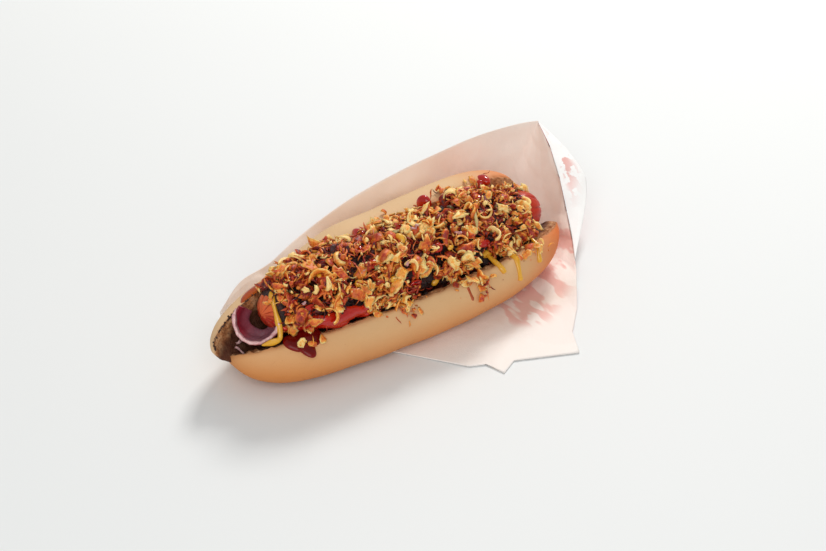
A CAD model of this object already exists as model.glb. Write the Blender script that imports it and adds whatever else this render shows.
import math

import bpy
import numpy as np
from mathutils import Matrix, Vector
from mathutils.bvhtree import BVHTree


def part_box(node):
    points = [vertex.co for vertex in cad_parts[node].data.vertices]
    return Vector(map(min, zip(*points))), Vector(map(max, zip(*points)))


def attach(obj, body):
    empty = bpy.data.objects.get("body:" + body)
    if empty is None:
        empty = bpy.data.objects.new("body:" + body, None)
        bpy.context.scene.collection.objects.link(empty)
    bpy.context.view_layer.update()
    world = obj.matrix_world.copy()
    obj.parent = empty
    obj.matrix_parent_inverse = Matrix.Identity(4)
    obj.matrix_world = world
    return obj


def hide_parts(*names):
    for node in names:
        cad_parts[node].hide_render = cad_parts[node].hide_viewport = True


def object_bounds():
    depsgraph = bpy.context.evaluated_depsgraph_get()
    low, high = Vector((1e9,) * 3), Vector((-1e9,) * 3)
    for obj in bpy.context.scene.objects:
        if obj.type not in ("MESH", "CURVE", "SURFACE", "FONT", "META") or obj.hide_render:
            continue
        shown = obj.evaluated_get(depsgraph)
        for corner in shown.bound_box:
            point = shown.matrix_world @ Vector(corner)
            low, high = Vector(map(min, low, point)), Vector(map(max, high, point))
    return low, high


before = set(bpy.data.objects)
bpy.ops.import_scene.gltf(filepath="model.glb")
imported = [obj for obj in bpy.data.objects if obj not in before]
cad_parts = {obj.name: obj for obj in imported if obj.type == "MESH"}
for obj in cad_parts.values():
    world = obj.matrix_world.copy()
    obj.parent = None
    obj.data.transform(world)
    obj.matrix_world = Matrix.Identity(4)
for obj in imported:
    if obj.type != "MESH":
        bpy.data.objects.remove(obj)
CAD_BOX = [list(corner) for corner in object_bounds()]

bl_info = {
    "name": "Hot dog in a paper bag",
    "version": (1, 0, 0),
    "blender": (4, 5, 0),
    "location": "3D View > Sidebar > Hot dog",
    "description": "Builds the looks of a hot dog with fried onions, lying in an opened paper bag",
    "category": "Mesh",
}

MM = 0.001
FULL_TURN = 6.28

# The shapes are worked out in millimetres in the bun's own frame, X along the bun, Y to its back half
# and Z up. The sausage's middle says where that frame lies in the model.
SAUSAGE_RADIUS = 10.8
SAUSAGE_FROM = np.array([-63.5, -8.5, 34.6])
SAUSAGE_TO = np.array([80.0, 1.0, 28.0])
SAUSAGE_BOX = np.array([list(corner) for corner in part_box("sausage")])
PLACE = SAUSAGE_BOX.mean(axis=0) - (SAUSAGE_FROM + SAUSAGE_TO) / 2 * MM

# Bun. Each half has its section (y, z) at mid-length and, where it differs, towards the left end; the
# point that it shrinks to at both ends; its ends in x; how blunt each end is; how far each end bends
# sideways and the right one lifts; the corner that is the cut edge, and on which side of it the crust is.
BUN_FLOOR = 0.8
END_ROUNDING = 2.2
END_REACH = 0.9985
NEARLY_WHOLE = 0.99995
CRUST_SHARE = 0.62
BUN_SPAN = 9
FRONT_HALF = {
    "section": [(-30.5, 27.4), (-34.7, 25.0), (-37.4, 18.6), (-36.0, 9.6), (-29.6, 2.9), (-19.0, 0.8),
                (-6.0, 0.8), (3.0, 5.0), (1.0, 12.0), (-6.0, 14.6), (-14.8, 18.4), (-23.0, 22.9)],
    "tip": (-13.8, 17.8),
    "ends": (-90.4, 97.3),
    "bluntness": (6.5, 4.0),
    "bend": (7.3, 11.2),
    "lift": 0.7,
    "cut_edge": 0,
    "crust_side": 1,
}
BACK_HALF = {
    "section": [(8.0, 0.8), (21.0, 0.8), (30.8, 3.0), (36.4, 11.8), (37.6, 23.2), (34.4, 34.3),
                (26.6, 41.5), (17.6, 44.2), (11.0, 42.6), (9.3, 37.5), (8.3, 28.8), (6.2, 19.5),
                (-0.5, 11.5), (-2.0, 4.5)],
    "left_section": [(8.0, 0.8), (19.0, 0.8), (27.5, 3.0), (31.5, 10.5), (32.0, 20.0), (28.6, 29.5),
                     (21.8, 37.0), (15.0, 41.0), (10.6, 41.6), (9.3, 37.0), (8.3, 28.8), (6.2, 19.5),
                     (-0.5, 11.5), (-2.0, 4.5)],
    "tip": (4.6, 24.1),
    "ends": (-97.7, 90.1),
    "bluntness": (2.2, 3.8),
    "bend": (-10.8, 11.5),
    "lift": 5.4,
    "cut_edge": 8,
    "crust_side": -1,
}
HINGE = {
    "section": [(-12.0, 0.9), (0.0, 0.8), (14.0, 0.9), (12.0, 8.0), (2.0, 12.6), (-9.0, 12.0)],
    "tip": (0.0, 12.0),
    "ends": (-86.0, 86.0),
    "bluntness": (4.0, 4.0),
    "bend": (-2.0, 11.0),
    "lift": 1.0,
    "cut_edge": 3,
    "crust_side": -1,
}

# Relish in the groove under the sausage: its section at mid-length
BED_SECTION = [(-26.5, 24.6), (-20.0, 14.0), (-4.0, 8.0), (8.0, 12.0), (11.0, 24.0), (-2.0, 26.0),
               (-16.0, 25.6)]
BED_ENDS = (-66.0, 84.0)

# Fried onions: the heap's ends in x, its radius round the sausage's axis by direction, from the back (0)
# over the top (90) to the front (180) in degrees, its radius at its ends and its highest point
HEAP_ENDS = (-70.0, 80.0)
HEAP_DIRECTIONS = [12, 35, 60, 90, 120, 150, 175, 196]
HEAP_RADII = [16.0, 18.5, 20.5, 22.0, 22.5, 23.0, 25.5, 26.5]
HEAP_END_RADIUS = 4.5
HEAP_TOP = 55.6

# The flakes get finer between these two x. How bright the rings of a chip and all of a shred or crumb
# are at the rim, and how many crumbs and burnt beads lie loose
FINER_FROM_TO = (30, 66)
CHIP_RIM = np.array([0.0, 1.0, 0.0])[:, None]
INNER_RIM = 0.3
FALLEN_CRUMBS = 30
CHAR_BEADS = 84

# Where the dark relish shows: x, direction and size
BARE_PATCHES = [
    (44.0, 180.0, 6.0), (37.0, 171.0, 5.0), (46.0, 190.0, 5.0), (-2.0, 165.0, 4.0), (6.0, 181.0, 6.5),
    (14.0, 189.0, 5.0), (29.5, 88.0, 5.0), (-36.0, 176.0, 4.5), (-58.0, 150.0, 3.5), (62.0, 172.0, 3.0),
    (-58.0, 187.0, 6.5), (-50.0, 189.0, 6.5), (-41.0, 189.0, 6.5), (-32.0, 190.0, 5.5),
    (-62.0, 196.0, 6.0), (-64.0, 175.0, 4.0), (31.0, 50.0, 7.0), (24.0, 76.0, 5.0), (-9.0, 45.0, 6.0),
    (-18.0, 86.0, 3.5), (-13.0, 66.0, 4.5), (69.0, 45.0, 5.0), (80.5, 150.0, 5.0), (84.0, 110.0, 5.0)]

# Where flakes spill over the bun: x, direction, their spreads and how many
SPILLS = [
    (4.5, 38.0, 2.2, 4.0, 10), (-14.0, 190.0, 3.6, 3.4, 22), (31.0, 190.0, 2.2, 4.0, 12),
    (-58.0, 186.0, 4.0, 2.0, 4), (15.5, 187.0, 1.2, 1.6, 2), (58.0, 184.0, 6.0, 1.6, 9),
    (50.0, 40.0, 9.0, 2.0, 8), (-36.0, 34.0, 9.0, 2.5, 8), (24.0, 186.0, 3.0, 2.0, 7),
    (-26.0, 184.0, 2.5, 1.5, 5), (-68.0, 197.0, 1.6, 2.5, 5), (-58.0, 196.0, 1.4, 3.0, 6),
    (-63.0, 203.0, 2.2, 1.2, 4), (-20.0, 185.0, 4.0, 2.0, 9), (26.0, 184.0, 4.0, 2.2, 10),
    (56.0, 180.0, 6.0, 3.0, 10), (70.0, 184.0, 4.0, 3.0, 8), (-68.0, 120.0, 2.0, 12.0, 5),
    (78.0, 46.0, 3.2, 3.6, 26), (83.0, 50.0, 2.0, 4.0, 12), (73.0, 42.0, 3.0, 2.4, 8),
    (77.0, 41.5, 2.0, 1.6, 14)]

# The pieces that sauces and crumbs lie on
SURFACES = ("bun_front_half", "bun_back_half", "onion_core", "sausage_skin")

# Red onion slice: an arc of one layer round its own axis
ONION_CENTRE = np.array([-77.5, -10.5, 34.6])
ONION_RADIUS = 10.6
ONION_WALL = 2.4
ONION_WIDTH = 6.0
ONION_ARC = (-203, 13)
ONION_AXIS = np.array([-0.62, -0.62, 0.48])

# Ketchup dabs: centre and half sizes, and the blobs in each: shift, share of the half sizes and facing
KETCHUP_DABS = {
    "ketchup_drop": ((31.0, 12.0, 45.6), (3.8, 3.2, 4.4)),
    "ketchup_back_dab": ((-8.0, 9.5, 43.8), (4.8, 3.0, 2.6)),
    "ketchup_right_dab": ((70.0, 17.5, 41.6), (4.6, 3.6, 2.8)),
    "ketchup_pool": ((-63.0, -26.5, 25.2), (8.5, 5.0, 3.0)),
}
FLAT_DAB = [((0, 0, 0), (0.88, 0.9, 0.92), (0, 0.15, 1)), ((-2.4, -1.0, -0.6), (0.5, 0.6, 0.7), (0, 0.1, 1))]
POOL_SHARE = (0.62, 0.9, 0.62)
POOL_FACING = (0, -0.4, 1)
DAB_BLOBS = {
    "ketchup_drop": [((0, 0, -0.4), (0.93, 0.93, 0.97), (0, 0.05, 1))],
    "ketchup_back_dab": FLAT_DAB,
    "ketchup_right_dab": FLAT_DAB,
    "ketchup_pool": [((-0.5, -0.2, 0.4), (0.98, 0.9, 0.6), (0, -0.45, 1)),
                     ((-4.5, 1.0, 1.0), POOL_SHARE, POOL_FACING), ((4.4, 0.6, 1.6), POOL_SHARE, POOL_FACING),
                     ((-1.0, 0.1, 0.3), POOL_SHARE, POOL_FACING)],
}

# Sauce laid along lines on the surface: x, direction, width and height
KETCHUP_SPOTS = 44
KETCHUP_SMEARS = [
    [(-57, 34, 2.0, 1.2), (-52, 36, 3.8, 1.8), (-46, 37, 2.4, 1.2)],
    [(-16, 38, 2.0, 1.2), (-10, 42, 3.6, 2.0), (-3, 42, 2.6, 1.4)],
    [(-66, 190, 3.0, 1.5), (-60, 187.5, 6.0, 2.4), (-54, 185.5, 7.4, 3.0), (-46, 184.5, 7.4, 3.0),
     (-38, 184.5, 7.8, 3.2), (-31, 184.5, 6.4, 2.6), (-24, 185, 3.6, 1.8)],
    [(-62, 195, 4.0, 1.6), (-50, 192.8, 6.0, 2.2), (-40, 192.2, 6.0, 2.2), (-31, 192.4, 5.0, 1.9),
     (-24, 191, 2.6, 1.2)],
    [(-72, 200, 3.0, 1.5), (-66, 197, 6.0, 2.4), (-60, 195, 5.0, 2.0), (-55, 192, 2.4, 1.2)],
    [(60, 42, 2.4, 1.4), (66, 42, 3.6, 2.0), (72, 40, 2.6, 1.4)],
    [(22, 44, 2.0, 1.4), (28, 44, 3.2, 1.8), (36, 42, 2.2, 1.2)]]
BROWN_SAUCE = [
    [(22, 185, 1.0, 0.5), (22.5, 189, 1.6, 0.5), (23, 194, 1.4, 0.45), (24, 199, 1.9, 0.6)],
    [(-77, 2, 2.4, 0.9), (-71, 6, 5.4, 1.6), (-64, 14, 6.0, 1.8), (-59, 24, 4.6, 1.5),
     (-54, 32, 2.4, 0.9)]]
MUSTARD_DRIPS = [
    [(56.0, 181, 4.4, 1.2), (55.0, 185, 4.0, 1.3), (54.2, 190, 2.8, 1.1), (53.8, 196, 2.6, 1.2),
     (53.9, 199, 3.0, 1.6), (53.9, 200.5, 2.6, 1.4)],
    [(71.5, 184, 2.2, 1.2), (70.0, 188, 2.4, 1.2), (69.0, 193, 2.8, 1.3), (68.8, 196, 3.2, 1.6),
     (68.8, 197.5, 2.6, 1.4)],
    [(42.5, 181, 4.0, 1.2), (43.6, 184, 3.6, 1.3), (44.6, 188, 3.0, 1.5), (44.8, 190, 2.4, 1.3)],
    [(40.0, 181, 3.0, 1.2), (44.0, 181.5, 4.2, 1.4), (50.0, 181.5, 4.4, 1.3), (56.0, 181.0, 4.0, 1.2),
     (60.0, 181, 2.2, 1.0)]]

# The mustard's stripe in space and the point it faces away from, and its blobs: x, direction, size and
# height over the surface
MUSTARD_STRIPE = [(-69.0, -9.0, 45.6), (-70.2, -12.6, 43.4), (-70.9, -16.3, 38.2), (-71.6, -19.6, 33.6),
                  (-73.2, -22.4, 29.6), (-76.4, -21.6, 28.2), (-80.6, -18.6, 26.4)]
MUSTARD_INSIDE = np.array([-66.0, -8.5, 32.0])
MUSTARD_BLOBS = [
    (-1.2, 116, 2.7, 4.6), (-31.3, 150, 2.5, 4.8), (59.8, 41, 2.3, 0.6), (10.8, 188, 2.4, 0.6),
    (-64.5, 150, 2.0, 2.0), (48.5, 104, 1.9, 4.6), (21.0, 150, 1.7, 4.6), (-48.0, 122, 1.7, 4.4),
    (64.0, 150, 1.6, 4.0), (-14.0, 160, 1.6, 4.6)]

# Bits that lie on the heap and the bun: red onion at points, pickle by x, direction, size and tone
RED_ONION_BITS = np.array([
    (-81.5, 2.2, 34.2), (-80.6, 0.8, 32.6), (-85.6, -5.6, 19.6), (-84.2, -7.2, 18.0), (-83.6, -4.0, 21.0),
    (-66.5, -19.0, 40.5), (-60.0, -22.5, 43.0), (6.0, -13.0, 53.0), (9.5, -11.5, 52.6),
    (-4.0, -23.5, 43.5), (-28.0, -22.0, 47.0), (28.0, -19.5, 46.0)])
PICKLE_BITS = [
    (-65.5, 116, 2.0, 0.15), (-63.0, 124, 1.8, 0.1), (-60.5, 108, 1.5, 0.3), (-1.0, 104, 2.0, 0.7),
    (24.0, 118, 2.0, 0.5), (34.0, 96, 2.6, 0.2), (-20.0, 140, 1.8, 0.6), (-40.0, 160, 1.7, 0.4),
    (12.0, 168, 2.0, 0.2), (47.0, 150, 1.8, 0.5), (-8.0, 96, 2.2, 0.8), (56.0, 120, 1.7, 0.4)]

# Paper: the sheet's front edge seen from above, the seam where the flap turns, its upper edge behind
# the bun and the flap's outer edge
PAPER_THICKNESS = 0.35
PAPER_FRONT = [(-64.0, 43.0), (7.0, -56.0), (14.5, -59.4), (17.0, -69.5), (26.5, -64.4), (55.0, -77.0),
               (62.5, -62.5), (77.0, -48.0)]
PAPER_SEAM = [(77.0, -48.0, 0.0), (95.0, -25.0, 3.0), (105.0, -9.0, 9.0), (112.0, 4.5, 15.5),
              (118.5, 18.5, 25.0), (124.0, 33.5, 34.0), (128.0, 49.0, 40.5)]
PAPER_TOP = [(-64.0, 44.5, 3.0), (-52.0, 45.0, 15.0), (-35.0, 46.0, 18.5), (-17.0, 47.5, 26.0),
             (13.0, 49.5, 34.6), (43.0, 50.5, 39.4), (67.0, 51.0, 41.5), (92.0, 51.5, 42.7),
             (117.0, 51.0, 41.4), (128.0, 49.0, 40.5)]
FLAP_EDGE = [(98.5, -19.5, 4.8), (126.5, 7.0, 17.0), (133.0, 19.0, 26.0), (131.0, 34.0, 34.0),
             (128.0, 49.0, 40.5)]

# Creases seen from above: start, end, depth and reach; and the line along which the print shows through
PAPER_CREASES = [((72, -26), (107, -6), 1.1, 7), ((40, -52), (92, -20), 0.5, 5),
                 ((62, -60), (84, -22), -0.45, 4), ((20, -60), (52, -40), 0.35, 4)]
SHOW_LINE = [(56, -35, 0), (99, -8, 4)]

# Camera: turned to the right of +Y and tilted down in degrees, its place in metres from the bun's frame,
# and its focal length in millimetres
CAMERA_TURN = 35.79
CAMERA_TILT = 33.2
CAMERA_PLACE = (-0.5373, -0.7671, 0.6356)
CAMERA_LENS = 104.6


# Shapes


def paint(red, green, blue):
    """A display colour, each part 0 to 255, as linear light."""
    parts = np.array([red, green, blue]) / 255
    linear = np.where(parts <= 0.04045, parts / 12.92, ((parts + 0.055) / 1.055) ** 2.4)
    return tuple(float(part) for part in linear)


def unit(vectors):
    """Vectors scaled to length 1."""
    vectors = np.asarray(vectors, float)
    return vectors / np.linalg.norm(vectors, axis=-1, keepdims=True)


def smooth_step(value, low, high):
    """0 below low, 1 above high and an S between them."""
    t = np.clip((value - low) / (high - low), 0, 1)
    return t * t * (3 - 2 * t)


def waves(points, length, seed, count=14):
    """Smooth noise of about unit size: a sum of sines of nearly one wavelength in random directions."""
    chance = np.random.default_rng(seed)
    ways = unit(chance.normal(size=(count, 3)))
    turn = ways * (2 * np.pi / (length * chance.uniform(0.7, 1.5, (count, 1))))
    phase = chance.uniform(0, 2 * np.pi, count)
    return np.sin(np.asarray(points) @ turn.T + phase).sum(axis=-1) / math.sqrt(count / 2)


def closed_curve(points, per_span):
    """A closed Catmull-Rom curve through the points, with per_span samples in each span."""
    points = np.asarray(points, float)
    before, after, beyond = (np.roll(points, shift, axis=0) for shift in (1, -1, -2))
    t = np.linspace(0, 1, per_span, endpoint=False)[None, :, None]
    a, b, c, d = (p[:, None, :] for p in (before, points, after, beyond))
    curve = 0.5 * (2 * b + (c - a) * t + (2 * a - 5 * b + 4 * c - d) * t**2 + (3 * b - a - 3 * c + d) * t**3)
    return curve.reshape(-1, points.shape[1])


def open_curve(points, count):
    """An open Catmull-Rom curve through the points, sampled evenly by parameter."""
    points = np.asarray(points, float)
    padded = np.vstack([2 * points[0] - points[1], points, 2 * points[-1] - points[-2]])
    place = np.linspace(0, len(points) - 1, count)
    span = np.minimum(place.astype(int), len(points) - 2)
    t = (place - span)[:, None]
    a, b, c, d = (padded[span + shift] for shift in range(4))
    return 0.5 * (2 * b + (c - a) * t + (2 * a - 5 * b + 4 * c - d) * t**2 + (3 * b - a - 3 * c + d) * t**3)


def sausage_axis(x):
    """The point of the sausage's axis at each x."""
    t = (np.asarray(x, float) - SAUSAGE_FROM[0]) / (SAUSAGE_TO[0] - SAUSAGE_FROM[0])
    return SAUSAGE_FROM + (SAUSAGE_TO - SAUSAGE_FROM) * t[..., None]


def outward(direction):
    """The unit vector at right angles to X in a direction in degrees: 0 to the back, 90 up, 180 front."""
    angle = np.radians(direction)
    return np.stack([np.zeros_like(angle), np.cos(angle), np.sin(angle)], axis=-1)


class Shells:
    """Closed shells that are gathered into one mesh, with a number per vertex for each named mark."""

    def __init__(self):
        self.points, self.quads, self.triangles, self.marks, self.count = [], [], [], {}, 0

    def add(self, rings, poles=None, **marks):
        """Adds one shell per entry of rings: rings[k, i, j] is point j of ring i of shell k. Ring follows
        ring by quads, and the first and last close in a fan on their pole, or on their own middle."""
        rings = np.asarray(rings, float)
        if rings.ndim == 3:
            rings = rings[None]
        shells, stations, around, _ = rings.shape
        if poles is None:
            poles = rings[:, [0, -1]].mean(axis=2)
        poles = np.asarray(poles).reshape(shells, 2, 3)
        points = np.concatenate([rings.reshape(shells, -1, 3), poles], axis=1)
        size = points.shape[1]
        i, j = np.meshgrid(np.arange(stations - 1), np.arange(around), indexing="ij")
        following = (j + 1) % around
        quads = np.stack([i * around + j, i * around + following, (i + 1) * around + following,
                          (i + 1) * around + j], axis=-1).reshape(-1, 4)
        j = np.arange(around)
        following = (j + 1) % around
        end = (stations - 1) * around
        first = np.stack([following, j, np.full(around, size - 2)], axis=-1)
        last = np.stack([end + j, end + following, np.full(around, size - 1)], axis=-1)
        triangles = np.vstack([first, last])
        corners = points[0][np.vstack([quads[:, [0, 1, 2]], quads[:, [0, 2, 3]], triangles])]
        corners = corners - points[0].mean(axis=0)
        if np.linalg.det(corners).sum() < 0:
            quads, triangles = quads[:, ::-1], triangles[:, ::-1]
        start = self.count + np.arange(shells)[:, None, None] * size
        self.points.append(points.reshape(-1, 3))
        self.quads.append((quads + start).reshape(-1, 4))
        self.triangles.append((triangles + start).reshape(-1, 3))
        for name, value in marks.items():
            value = np.broadcast_to(np.asarray(value, float), (shells, stations, around))
            ends = value[:, [0, -1]].mean(axis=2)
            whole = np.concatenate([value.reshape(shells, -1), ends], axis=1)
            self.marks.setdefault(name, []).append(whole.reshape(-1))
        self.count += shells * size
        return self

    def build(self, name, look):
        """The finished mesh as one object that rides on the body."""
        marks = {key: np.concatenate(value) for key, value in self.marks.items()}
        return make_object(name, np.vstack(self.points), np.vstack(self.quads), np.vstack(self.triangles),
                           [look], marks)


def make_object(name, points, quads, triangles, looks, marks, inset=0.0):
    """A mesh object of these faces at its place in the model, its points given in the bun's frame and
    held inset millimetres inside the whole part's box."""
    mesh = bpy.data.meshes.new(name)
    low, high = np.array(CAD_BOX) + np.array([[inset], [-inset]]) * MM
    points = np.clip(np.asarray(points) * MM + PLACE, low, high)
    corners = np.concatenate([quads.ravel(), triangles.ravel()]).astype(np.int32)
    starts = np.concatenate([np.arange(len(quads)) * 4, quads.size + np.arange(len(triangles)) * 3])
    mesh.vertices.add(len(points))
    mesh.vertices.foreach_set("co", points.astype(np.float32).ravel())
    mesh.loops.add(len(corners))
    mesh.loops.foreach_set("vertex_index", corners)
    mesh.polygons.add(len(starts))
    mesh.polygons.foreach_set("loop_start", starts.astype(np.int32))
    for key, value in marks.items():
        attribute = mesh.attributes.new(key, "FLOAT", "POINT")
        attribute.data.foreach_set("value", np.asarray(value, np.float32).ravel())
    mesh.update(calc_edges=True)
    mesh.validate()
    mesh.shade_smooth()
    for look in looks:
        mesh.materials.append(look)
    made = bpy.data.objects.new(name, mesh)
    bpy.context.scene.collection.objects.link(made)
    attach(made, "root")
    return made


def stand(local, centre, facing, spin):
    """Turns each shell of local so that its Z looks along facing, turned by spin about it, at centre."""
    facing = unit(facing)
    helper = np.where(np.abs(facing[:, 2:3]) < 0.8, [[0.0, 0.0, 1.0]], [[1.0, 0.0, 0.0]])
    first = unit(np.cross(helper, facing))
    second = np.cross(facing, first)
    along = np.cos(spin)[:, None] * first + np.sin(spin)[:, None] * second
    across = np.cross(facing, along)
    axes = np.stack([along, across, facing], axis=1)
    turned = np.einsum("k...a,kab->k...b", local, axes)
    return turned + centre.reshape((len(centre),) + (1,) * (local.ndim - 2) + (3,))


# Looks


class Value:
    """One output of a look's nodes. Arithmetic on it reads as an expression and adds Math nodes."""

    def __init__(self, look, socket):
        self.look, self.socket = look, socket

    def math(self, operation, *inputs, clamp=False):
        """A Math node's result."""
        return self.look.node("Math", {"operation": operation, "use_clamp": clamp}, dict(enumerate(inputs)))

    def __add__(self, other):
        return self.math("ADD", self, other)

    def __radd__(self, other):
        return self.math("ADD", other, self)

    def __sub__(self, other):
        return self.math("SUBTRACT", self, other)

    def __rsub__(self, other):
        return self.math("SUBTRACT", other, self)

    def __mul__(self, other):
        return self.math("MULTIPLY", self, other)

    def __rmul__(self, other):
        return self.math("MULTIPLY", other, self)

    def clamped(self):
        """The value held between 0 and 1."""
        return self.math("ADD", self, 0.0, clamp=True)

    def rise(self, low, high):
        """0 at low and 1 at high with an S between, or the other way round if low is the higher."""
        return self.look.node("MapRange", {"interpolation_type": "SMOOTHSTEP"},
                              {"Value": self, "From Min": low, "From Max": high})


class Look:
    """A material and the few steps from which its nodes are made."""

    def __init__(self, name, **constants):
        self.material = bpy.data.materials.new(name)
        self.material.use_nodes = True
        self.tree = self.material.node_tree
        self.shader = self.tree.nodes["Principled BSDF"]
        for key, value in constants.items():
            self.shader.inputs[key.replace("_", " ")].default_value = value
        self.place = self.node("TexCoord", output="Object")

    def node(self, kind, settings=None, sockets=None, output=0):
        """Any node: its settings first, then the values or links of its sockets; gives one output."""
        made = self.tree.nodes.new("ShaderNode" + kind)
        for key, value in (settings or {}).items():
            if key == "stops":
                ramp = made.color_ramp.elements
                while len(ramp) < len(value):
                    ramp.new(0.5)
                for element, (position, colour) in zip(ramp, value):
                    element.position = position
                    element.color = (*colour, 1.0)
            else:
                setattr(made, key, value)
        for key, value in (sockets or {}).items():
            if isinstance(value, Value):
                self.tree.links.new(value.socket, made.inputs[key])
            elif isinstance(value, tuple) and len(value) == 3 and made.inputs[key].type == "RGBA":
                made.inputs[key].default_value = (*value, 1.0)
            else:
                made.inputs[key].default_value = value
        return Value(self, made.outputs[output])

    def noise(self, size, detail=2.0, roughness=0.5, stretch=None, distortion=0.0):
        """Noise from 0 to 1 whose features are about size millimetres across."""
        place = self.place
        if stretch:
            place = self.node("Mapping", None, {"Vector": place, "Scale": stretch})
        return self.node("TexNoise", None, {"Vector": place, "Scale": 1 / (size * MM), "Detail": detail,
                                            "Roughness": roughness, "Distortion": distortion})

    def cells(self, size):
        """Distance to random cell points that lie about size millimetres apart."""
        return self.node("TexVoronoi", None, {"Vector": self.place, "Scale": 1 / (size * MM)}, "Distance")

    def mark(self, name):
        """A number that the mesh carries at each vertex."""
        return self.node("Attribute", {"attribute_name": name}, output="Fac")

    def height(self):
        """Height above the ground in millimetres."""
        return self.node("SeparateXYZ", None, {"Vector": self.place}, "Z") * 1000.0

    def ramp(self, factor, stops):
        """A colour that runs through the stops (position, colour)."""
        return self.node("ValToRGB", {"stops": stops}, {"Fac": factor}, "Color")

    def mix(self, factor, first, second):
        """first where factor is 0 and second where it is 1."""
        return self.node("Mix", {"data_type": "RGBA"}, {0: factor, 6: first, 7: second}, 2)

    def bump(self, height, depth):
        """A bump from a height of 0 to 1, depth millimetres deep."""
        return self.node("Bump", None, {"Height": height, "Distance": depth * MM, "Strength": 1.0})

    def finish(self, **inputs):
        """Links or sets the shader's own sockets and gives the material."""
        for key, value in inputs.items():
            socket = self.shader.inputs[key.replace("_", " ")]
            if isinstance(value, Value):
                self.tree.links.new(value.socket, socket)
            else:
                socket.default_value = value
        return self.material


def bread_look(name, settings):
    """Pale matt crust, browner low down and at the right end, and a toasted cut face with a dark edge."""
    look = Look(name, Specular_IOR_Level=0.3)
    edge, along, side = look.mark("edge"), look.mark("along"), look.mark("back")
    broad, fine = look.noise(17, 3), look.noise(1.3, 3, 0.6)
    pale = look.mix((broad * 0.5 + side * 0.4).clamped(), tuple(settings.crust_colour), paint(222, 188, 146))
    low = (1 - look.height().rise(5, 27)) * (0.85 - side * 0.45) + along.rise(-0.3, -0.95) * 0.35 * (1 - side)
    crust = look.mix(low.clamped(), pale, tuple(settings.crust_low_colour))
    right = along.rise(0.55, 1.0) * (0.9 - side * 0.3)
    browned = right * 1.2 + (look.noise(9, 2) - 0.5) * 0.5 * right
    crust = look.mix(browned.clamped(), crust, paint(222, 112, 44))
    freckles = look.noise(0.9, 1).rise(0.68, 0.8) * 0.22 + edge.rise(3.0, 0.2) * 0.45
    crust = look.mix(freckles.clamped(), crust, paint(183, 110, 58))
    blotch = look.noise(3.2, 4, 0.65)
    toasted = look.ramp(blotch, [(0.3, paint(140, 82, 46)), (0.47, paint(184, 122, 76)),
                                 (0.62, paint(212, 162, 116))])
    toasted = look.mix(edge.rise(-3, -12) * 0.9, toasted, paint(66, 24, 14))
    pores = look.cells(0.9)
    toasted = look.mix(pores.rise(0.4, 0.1) * 0.3, toasted, paint(110, 60, 32))
    cut = edge.rise(0.25, -0.35)
    colour = look.mix(cut, crust, toasted)
    char = edge.rise(-0.8, -0.1) * edge.rise(0.5, 0.1) * look.noise(1.8, 2).rise(0.42, 0.6)
    char = char * (0.1 + along.rise(-0.5, -0.8) * 0.75 * side)
    colour = look.mix(char.clamped(), colour, paint(50, 26, 14))
    relief = fine * 0.35 * (1 - cut) + (1 - pores.rise(0.5, 0.0)) * cut + blotch * 0.4
    return look.finish(Base_Color=colour, Roughness=0.62 + look.noise(6) * 0.2,
                       Normal=look.bump(relief, 0.35))


def onion_look(name, settings):
    """Fried onion: from crimson brown to gold by the flake's tone, brighter at the rim, with brown spots."""
    look = Look(name, Specular_IOR_Level=0.5, Subsurface_Weight=0.12,
                Subsurface_Radius=(1.0, 0.45, 0.15), Subsurface_Scale=0.0012)
    tone, rim = look.mark("tone"), look.mark("rim")
    spots = look.noise(1.7, 3, 0.6)
    value = tone * 1.107 - 0.1835 + (spots - 0.5) * 0.9 + rim * 0.34
    gold = tuple(settings.onion_colour)
    colour = look.ramp(value.clamped(), [
        (0.0, paint(60, 8, 5)), (0.2, paint(128, 24, 10)), (0.36, paint(190, 60, 18)),
        (0.56, paint(224, 112, 36)), (0.82, gold), (1.0, paint(255, 220, 140))])
    stain = look.noise(8, 2).rise(0.53, 0.62) * (1.1 - tone) * 0.9
    colour = look.mix(stain.clamped(), colour, paint(140, 16, 8))
    return look.finish(Base_Color=colour, Roughness=0.34 + spots * 0.3,
                       Normal=look.bump(look.noise(0.7, 3, 0.6), 0.16))


def core_look(name):
    """The dark inside of the heap: black-brown with dull red shreds showing."""
    look = Look(name)
    streak = look.noise(1.5, 4, 0.65, distortion=1.5)
    colour = look.ramp(streak, [(0.38, paint(16, 5, 4)), (0.54, paint(46, 10, 6)), (0.7, paint(104, 28, 12))])
    return look.finish(Base_Color=colour, Roughness=0.3 + look.noise(2) * 0.35,
                       Normal=look.bump(streak, 0.8))


def relish_look(name):
    """Wet dark relish: nearly black with red-brown and olive lumps."""
    look = Look(name, Specular_IOR_Level=0.5)
    lumps = look.cells(2.6)
    tint = look.noise(4, 3)
    colour = look.ramp(tint, [(0.35, paint(18, 7, 6)), (0.5, paint(46, 15, 10)), (0.6, paint(70, 26, 14)),
                              (0.72, paint(44, 34, 16))])
    return look.finish(Base_Color=colour, Roughness=0.18 + lumps * 0.3,
                       Normal=look.bump((1 - lumps) * 0.8 + look.noise(0.9, 3) * 0.3, 0.9))


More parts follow.
